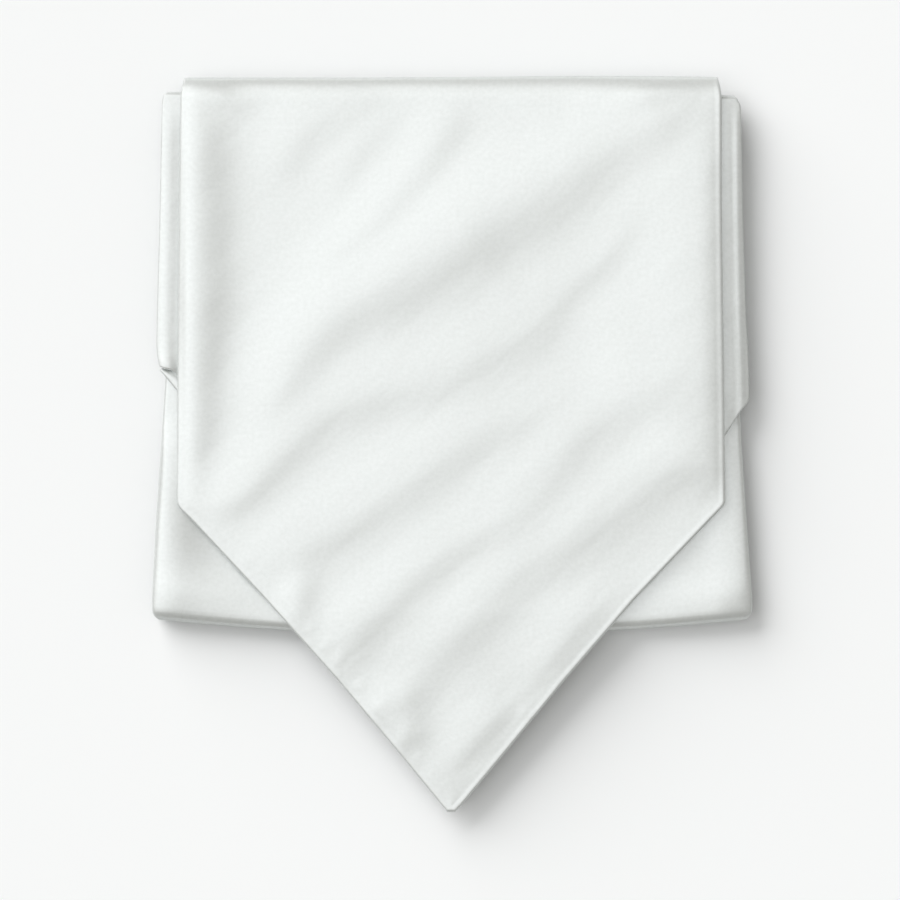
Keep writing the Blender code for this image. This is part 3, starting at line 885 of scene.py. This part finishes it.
# %% Turned hem
HEM_WALL = 0.9
HEM_LEVEL = LOWER_LEVEL + WALL / 2 + GAP + HEM_WALL / 2
HEM_LINE = ((-81.0, 20.9), (-79.6, 19.2), (-78.3, 17.7), (-76.9, 16.0), (-75.6, 14.3), (-74.2, 12.5))
HEM_WIDTHS = (0.8, 2.3, 3.7, 4.6, 5.0, 5.0)
HEM_ROLL = 0.2
HEM_ROLL_AT = 0.3
HEM_ROLL_WIDTH = 0.2
HEM_HOLLOW = 0.35
HEM_HOLLOW_AT = 0.45
HEM_HOLLOW_BLEND = 0.4
HEM_LENGTH = 10.7
HEM_EDGE_ROLL = 0.5
HEM_ACROSS = 25


def build_hem():
    """A grid laid along the hem's slanting line, with its width on the inner side."""
    line = smooth_path(HEM_LINE)
    ahead = np.gradient(line, axis=0)
    ahead /= np.linalg.norm(ahead, axis=1, keepdims=True)
    inward = np.stack([-ahead[:, 1], ahead[:, 0]], axis=1)
    width = np.interp(np.linspace(0.0, 1.0, PATH_STEPS), np.linspace(0.0, 1.0, len(HEM_WIDTHS)), HEM_WIDTHS)
    share = np.linspace(0.0, 1.0, HEM_ACROSS)
    x = line[:, 0, None] + inward[:, 0, None] * width[:, None] * share
    y = line[:, 1, None] + inward[:, 1, None] * width[:, None] * share
    roll = HEM_ROLL * np.exp(-(((share - HEM_ROLL_AT) / HEM_ROLL_WIDTH) ** 2))
    hollow = HEM_HOLLOW * smooth((share - HEM_HOLLOW_AT) / HEM_HOLLOW_BLEND)
    z = HEM_LEVEL + crown(x, y) - margin_drop(x) + (roll - hollow)
    run = np.linspace(0.0, HEM_LENGTH, PATH_STEPS)[:, None]
    edge = np.minimum(np.minimum(share, 1.0 - share) * width[:, None], np.minimum(run, HEM_LENGTH - run))
    uv = np.stack([share * width[:, None] + UV_SHIFT, run + 0.0 * share], axis=2) * MM
    laid = Laid(x.T, y.T, z.T, np.maximum(edge, 0.0).T, uv.transpose(1, 0, 2))
    return shell("turned_hem", laid, HEM_WALL, HEM_EDGE_ROLL, SATIN)


hem = build_hem()

# %% [markdown]
# ## The lower fold
# The second blade's cloth goes on below: it shows as two corners beside the point, turns round the bottom fold, runs
# flat along the underside and turns in again at the back. The underside rests on the table, so its creases are
# shallow hollows that never reach below it.

# %% Lower fold
LOWER_OUTLINE = (
    (82.0, -80.0, 79.5),
    (18.1, -79.4, 79.3),
    (-1.3, -80.6, 80.2),
    (-20.6, -81.9, 81.5),
    (-42.7, -83.1, 83.1),
)
UNDER_OUTLINE = (
    (96.0, -78.5, 78.0),
    (20.0, -77.8, 77.6),
    (-42.5, -82.6, 82.6),
)
BOTTOM_CORNER_REACH = -48.1
BOTTOM_TURN = 3.2
BOTTOM_FULLNESS = 0.6
BOTTOM_BOW = 4.4
BOTTOM_FOLD_FADE = 34.0
BOTTOM_LIFT = 0.9
BOTTOM_LIFT_START = -20.0
BACK_TOP_REACH = 95.5
BACK_TURN = (INNER_BACK_LEVEL - UNDERSIDE_LEVEL) / 2
LOWER_COLUMNS = 84
LOWER_EDGE_ROLL = 0.9
HIDDEN_UNTIL = 24.0
HIDDEN_LOWER_STEP = 4.0
SHOWN_STEP = 1.3
UNDER_STEP = 3.0
SHOWS_BELOW = 10.0
SHOWS_FADE = 12.0
LOWER_CREASES = (
    # the roll along the left edge, and the fall from it towards the front blade
    Crease(
        ((-77.6, 40), (-78.2, 14), (-79.0, -10), (-80.2, -30), (-81.0, -60)),
        (1.1, 1.5, 1.0), (1.6, 1.6, 1.6), (7.5, 8.0, 6.0),
    ),
    Crease(
        ((-86, -4), (-71, -19), (-63, -27), (-55, -35), (-38, -52)),
        (-0.7, -1.0, -0.8), (6, 6, 6), (3.8, 3.8, 3.6),
    ),
    # the soft ridge just before the bottom fold, on both corners
    Crease(
        ((-98, -41), (-84, -41), (-72, -41), (-58, -42), (-40, -43.5)),
        (0.7, 0.85, 0.7), (5, 5, 5), (3.6, 3.6, 3.6),
    ),
    Crease(
        ((98, -41), (84, -41.4), (74, -41.6), (60, -42.4), (40, -44)),
        (0.6, 0.75, 0.6), (3.6, 3.6, 3.6), (5, 5, 5),
    ),
    # the fall towards the right edge
    Crease(((78.0, 20), (79.6, -10), (80.6, -30), (81.6, -60)), (0.5, 0.9, 0.7), (4.5, 4.5, 4.5), (1.8, 1.8, 1.8)),
)
# the shallow hollows of the underside
UNDER_CREASES = (
    Crease(((-70, 62), (-48, 70), (-22, 74), (2, 83)), (0.12, 0.26, 0.12), (4, 5, 3), (3, 4, 3)),
    Crease(((66, 74), (44, 58), (20, 46), (-6, 40), (-30, 28)), (0.14, 0.28, 0.12), (3, 5, 4), (4, 6, 4)),
    Crease(((-76, 30), (-52, 24), (-30, 12), (-12, -6)), (0.16, 0.24, 0.1), (3, 4, 4), (4, 5, 3)),
    Crease(((72, 22), (50, 14), (30, 2), (14, -14), (6, -30)), (0.12, 0.27, 0.14), (4, 5, 5), (3, 4, 4)),
    Crease(((-60, -12), (-42, -20), (-26, -34)), (0.14, 0.22, 0.1), (3, 4, 3), (3, 3, 3)),
    Crease(((70, -20), (58, -10), (49, 6)), (0.1, 0.2, 0.1), (3, 3, 3), (4, 4, 3)),
)


def lower_drift(x):
    """The bottom fold bows out in its middle."""
    return -BOTTOM_BOW * (1.0 - (x / LOWER_OUTLINE[-1][2]) ** 2)


def bottom_lift(y):
    """How far the underside has left the table on its way to the bottom fold."""
    fold_y = BOTTOM_CORNER_REACH + BOTTOM_TURN + WALL / 2
    return BOTTOM_LIFT * np.clip((BOTTOM_LIFT_START - y) / (BOTTOM_LIFT_START - fold_y), 0.0, 1.0) ** 2


def lower_rows():
    """Down the front, round the bottom fold, up the flat underside and in again at the back."""
    fold_y = BOTTOM_CORNER_REACH + BOTTOM_TURN + WALL / 2
    back_y = BACK_TOP_REACH - BACK_TURN - WALL / 2
    bottom = (fold_y, BOTTOM_FOLD_FADE)
    hidden = steps(STUB_END, HIDDEN_UNTIL, HIDDEN_LOWER_STEP)
    down = np.concatenate([hidden, steps(HIDDEN_UNTIL, fold_y, SHOWN_STEP), [fold_y]])
    front = flat_rows(LOWER_OUTLINE, down, LOWER_LEVEL, 1.0, *bottom)
    up = np.concatenate([steps(fold_y, back_y, UNDER_STEP), [back_y]])
    under = flat_rows(UNDER_OUTLINE, up, UNDERSIDE_LEVEL, 0.0, *bottom)
    under = under._replace(z=under.z + bottom_lift(under.y))
    inside_y = np.concatenate([steps(back_y, STUB_END, UNDER_STEP), [STUB_END]])
    inside = flat_rows(UNDER_OUTLINE, inside_y, INNER_BACK_LEVEL, 0.0, *bottom)
    bottom_fold = fold_rows(front, under, -BOTTOM_TURN, BOTTOM_FULLNESS)
    back_fold = fold_rows(under, inside, BACK_TURN)
    return join_rows(front, bottom_fold, under, back_fold, inside)


def lower_face(x, y):
    """The form of the two corners that show beside the point."""
    return smooth((SHOWS_BELOW - y) / SHOWS_FADE) * relief(LOWER_CREASES, x, y)


def build_lower_fold():
    rows = lower_rows()
    laid = lay(rows, LOWER_COLUMNS, lower_drift)
    height = crown(laid.x, laid.y) - margin_drop(laid.x) + lower_face(laid.x, laid.y)
    hollows = (rows.z < CORE_BOTTOM)[:, None] * relief(UNDER_CREASES, laid.x, laid.y)
    z = laid.z + rows.raised[:, None] * height + hollows
    return shell("lower_fold_satin", laid._replace(z=z), WALL, LOWER_EDGE_ROLL, SATIN), laid


lower_fold, lower_laid = build_lower_fold()

# %% [markdown]
# ## The hidden layers
# Between the lower fold and the underside lie four more layers. Only their edges show from the side. Each is a thin
# sheet of its own, a little wider or narrower than its neighbour, as folded cloth always is.

# %% Hidden layers
INNER_COUNT = 4
INNER_GAP = 0.16
INNER_HALF_WIDTHS = (76.3, 77.4, 76.8, 77.9)
INNER_LOW_ENDS = (-40.6, -42.8, -43.6, -42.0)
INNER_HIGH_ENDS = (92.0, 81.2, 80.4, 81.4)
INNER_COLUMNS = 30
INNER_EDGE_ROLL = 0.4
INNER_END = 4.0
INNER_END_STEP = 0.5
INNER_STEP = 3.0
SWAY = 0.35
SWAY_LENGTH = 9.0
SWAY_CHANGE = 2.0


def build_inner_layer(number):
    """One flat sheet. The higher it lies, the more of the crown and the less of the bottom's lift it has."""
    pitch = (CORE_TOP - CORE_BOTTOM) / INNER_COUNT
    share = (number + 0.5) / INNER_COUNT
    low, high = INNER_LOW_ENDS[number], INNER_HIGH_ENDS[number]
    end = low + INNER_END
    y = np.concatenate([steps(low, end, INNER_END_STEP), steps(end, high, INNER_STEP), [high]])
    half = INNER_HALF_WIDTHS[number] + SWAY * np.sin(y / (SWAY_LENGTH + SWAY_CHANGE * number) + SWAY_CHANGE * number)
    level = np.full(len(y), CORE_BOTTOM + pitch * (number + 0.5)) + bottom_lift(y) * (1.0 - share)
    rows = Rows(y, level, -half, half, np.full(len(y), share), np.zeros(len(y)))
    laid = lay(rows, INNER_COLUMNS, np.zeros_like)
    z = laid.z + rows.raised[:, None] * (crown(laid.x, laid.y) + np.minimum(lower_face(laid.x, laid.y), 0.0))
    name = "inner_layer_" + str(number + 1)
    return shell(name, laid._replace(z=z), pitch - INNER_GAP, INNER_EDGE_ROLL, SATIN), laid


inner_layers = [build_inner_layer(number) for number in range(INNER_COUNT)]

# %% [markdown]
# ## Slip stitches
# On the back of the point the satin is turned in and a lining is sewn over it by hand. Its slip stitches are short,
# lie along the edge and are never quite even. They can't be seen from above. Geometry Nodes set them along a line:
# the line is cut into equal steps, a small rounded stitch is put on each step and turned along the line, and the
# seeded sizes vary a little.

# %% Nodes that sew along a line
STITCH_SEED = 7
STITCH_SIZES = (0.8, 1.15)
STITCH_SEGMENTS = 10
STITCH_RINGS = 6
STITCH_RADIUS = 0.5


def sewing_nodes():
    """A group that sews along a line. In its random node sockets 2 and 3 are the lowest and the highest size."""
    tree = bpy.data.node_groups.new("slip_stitches", "GeometryNodeTree")
    face = tree.interface
    face.new_socket("Line", in_out="INPUT", socket_type="NodeSocketGeometry")
    for name in ("Spacing", "Length", "Thickness"):
        face.new_socket(name, in_out="INPUT", socket_type="NodeSocketFloat")
    face.new_socket("Thread", in_out="INPUT", socket_type="NodeSocketMaterial")
    face.new_socket("Stitches", in_out="OUTPUT", socket_type="NodeSocketGeometry")
    given = tree.nodes.new("NodeGroupInput").outputs
    link = tree.links.new
    line = tree.nodes.new("GeometryNodeMeshToCurve")
    link(given["Line"], line.inputs["Mesh"])
    cut = tree.nodes.new("GeometryNodeResampleCurve")
    cut.mode = "LENGTH"
    link(line.outputs[0], cut.inputs["Curve"])
    link(given["Spacing"], cut.inputs["Length"])
    turn = tree.nodes.new("FunctionNodeAlignRotationToVector")
    turn.axis = "X"
    link(tree.nodes.new("GeometryNodeInputTangent").outputs[0], turn.inputs["Vector"])
    size = tree.nodes.new("ShaderNodeCombineXYZ")
    uneven = tree.nodes.new("FunctionNodeRandomValue")
    uneven.inputs[2].default_value, uneven.inputs[3].default_value = STITCH_SIZES
    uneven.inputs["Seed"].default_value = STITCH_SEED
    length = add_node(tree, "ShaderNodeMath", "MULTIPLY")
    link(given["Length"], length.inputs[0])
    link(uneven.outputs[1], length.inputs[1])
    link(length.outputs[0], size.inputs[0])
    link(given["Thickness"], size.inputs[1])
    link(given["Thickness"], size.inputs[2])
    stitch = tree.nodes.new("GeometryNodeMeshUVSphere")
    stitch.inputs["Segments"].default_value = STITCH_SEGMENTS
    stitch.inputs["Rings"].default_value = STITCH_RINGS
    stitch.inputs["Radius"].default_value = STITCH_RADIUS
    place = tree.nodes.new("GeometryNodeInstanceOnPoints")
    link(cut.outputs[0], place.inputs["Points"])
    link(stitch.outputs["Mesh"], place.inputs["Instance"])
    link(turn.outputs[0], place.inputs["Rotation"])
    link(size.outputs[0], place.inputs["Scale"])
    real = tree.nodes.new("GeometryNodeRealizeInstances")
    link(place.outputs[0], real.inputs[0])
    paint = tree.nodes.new("GeometryNodeSetMaterial")
    link(real.outputs[0], paint.inputs["Geometry"])
    link(given["Thread"], paint.inputs["Material"])
    link(paint.outputs[0], tree.nodes.new("NodeGroupOutput").inputs[0])
    return tree


# %% Thread
THREAD_COLOR = (0.80, 0.83, 0.81, 1.0)
THREAD_PLY = 2600.0
THREAD_ROUGH = 0.45


def thread_material():
    """Fine silk thread: the twist of its plies shows as slanting bands of relief, with painted shade in the grooves.
    """
    material = bpy.data.materials.new("silk_thread")
    material.use_nodes = True
    tree = material.node_tree
    place = tree.nodes.new("ShaderNodeTexCoord")
    plies = tree.nodes.new("ShaderNodeTexWave")
    plies.bands_direction = "DIAGONAL"
    plies.inputs["Scale"].default_value = THREAD_PLY
    tree.links.new(place.outputs["Object"], plies.inputs["Vector"])
    # the ply bands also darken the colour towards the grooves between plies: painted shade
    shader = color_and_bump(tree, plies.outputs["Fac"], THREAD_COLOR, plies.outputs["Fac"])
    shader.inputs["Roughness"].default_value = THREAD_ROUGH
    return material


# %% Sew the lining to the point
STITCH_SPACING = 2.6
STITCH_LENGTH = 1.7
STITCH_THICKNESS = 0.32
STITCH_INSET = 2.2
STITCH_SUNK = 0.1
STITCH_ENDS = (-46.0, -97.0)


def sew_point():
    """One row of slip stitches along each slanting edge, on the back of the point."""
    y = np.linspace(STITCH_ENDS[0], STITCH_ENDS[1], PATH_STEPS)
    left, right = edges_at(FRONT_OUTLINE, y)
    rows = []
    for edge_x, inward in ((left, 1.0), (right, -1.0)):
        slant = np.hypot(1.0, np.gradient(edge_x, y))
        x = edge_x + inward * STITCH_INSET * slant
        face = FRONT_LEVEL + front_face(x, y, np.full(len(y), STITCH_INSET))
        z = face - WALL / 2 + STITCH_SUNK - STITCH_THICKNESS / 2
        rows.append(np.stack([x, y, z], axis=1) * MM)
    mesh = bpy.data.meshes.new("point_slip_stitches")
    links = [(k, k + 1) for k in range(PATH_STEPS - 1)]
    mesh.from_pydata(np.vstack(rows).tolist(), links + [(a + PATH_STEPS, b + PATH_STEPS) for a, b in links], [])
    obj = bpy.data.objects.new(mesh.name, mesh)
    bpy.context.scene.collection.objects.link(obj)
    sewing = obj.modifiers.new("sewing", "NODES")
    sewing.node_group = sewing_nodes()
    values = {"Spacing": STITCH_SPACING * MM, "Length": STITCH_LENGTH * MM, "Thickness": STITCH_THICKNESS * MM}
    for socket in sewing.node_group.interface.items_tree:
        if socket.name in values:
            sewing[socket.identifier] = values[socket.name]
        elif socket.name == "Thread":
            sewing[socket.identifier] = thread_material()
    bake_modifiers(obj)
    obj.data.shade_smooth()
    print("stitch faces:", len(obj.data.polygons))
    return obj


stitches = sew_point()

# %% [markdown]
# ## Join the pieces to the frame
# Every piece is tied to the frame's one body, and the solid that it stands for is hidden. Each is a sheet of cloth,
# and its flat size is measured along its own grid.

# %% Tie the pieces to the frame
def flat_size(laid):
    """Width, length and area that the stretch was cut to, measured along its grid."""
    width = float((laid.x[:, -1] - laid.x[:, 0]).max()) * MM
    run = laid.uv[:, 0, 1]
    length = float(run[-1])
    across = (laid.x[:, -1] - laid.x[:, 0]) * MM
    area = float((np.diff(run) * (across[1:] + across[:-1]) / 2.0).sum())
    return width, length, area


def declare(piece, node, laid):
    """Ties one sheet of cloth to the frame, hides its solid, and prints the flat width and length of its grid."""
    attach(piece, "root")
    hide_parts(node)
    width, length, area = flat_size(laid)
    area = min(area, width * length)
    print(piece.name, "flat size in mm:", round(width / MM, 1), round(length / MM, 1))


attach(stitches, "root")
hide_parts("front_blade")
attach(hem, "root")
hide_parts("second_blade_hem")
declare(front_blade, "front_blade", front_laid)
declare(second_blade, "second_blade", second_laid)
declare(lower_fold, "lower_fold", lower_laid)
under = ["lower_fold_satin"] + [piece.name for piece, _ in inner_layers]
for (piece, laid), below in zip(inner_layers, under):
    declare(piece, "folded_layers", laid)
